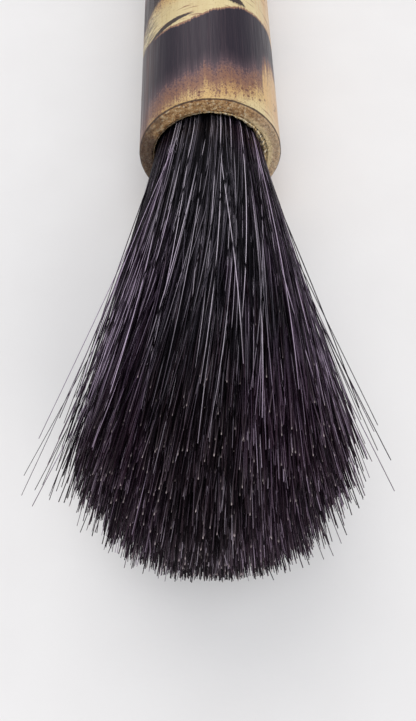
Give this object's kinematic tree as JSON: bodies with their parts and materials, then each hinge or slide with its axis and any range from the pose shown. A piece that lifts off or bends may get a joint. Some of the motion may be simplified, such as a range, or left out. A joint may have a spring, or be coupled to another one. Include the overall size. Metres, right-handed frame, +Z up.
{
  "type": "calligraphy brush",
  "caption": "Large calligraphy brush lying on its side: a burnt-pattern bamboo handle with a full tuft of long, stiff, dark hair glued into its end.",
  "frame": {"origin": "on the surface the brush lies on, under the centre of its bounding box", "axes": "+Y along the brush towards the butt of the handle, the tuft at the -Y end; +Z up; +X to the right seen from the tuft's end"},
  "size_m": [0.0326, 0.2914, 0.0318],
  "materials": {
    "bamboo": "glossy clear lacquer over burnt bamboo",
    "plug_wood": "satin",
    "resin": "crusty, partly glossy",
    "thread": "matte",
    "rosin": "glossy",
    "hair": "soft sheen"
  },
  "bodies": {
    "root": {"handle_culm": "bamboo", "butt_plug": "plug_wood", "socket_glue": "resin", "root_binding": "thread", "root_seal": "rosin", "hair_core": "hair", "hair_middle": "hair", "hair_cover": "hair"}
  },
  "joints": []
}
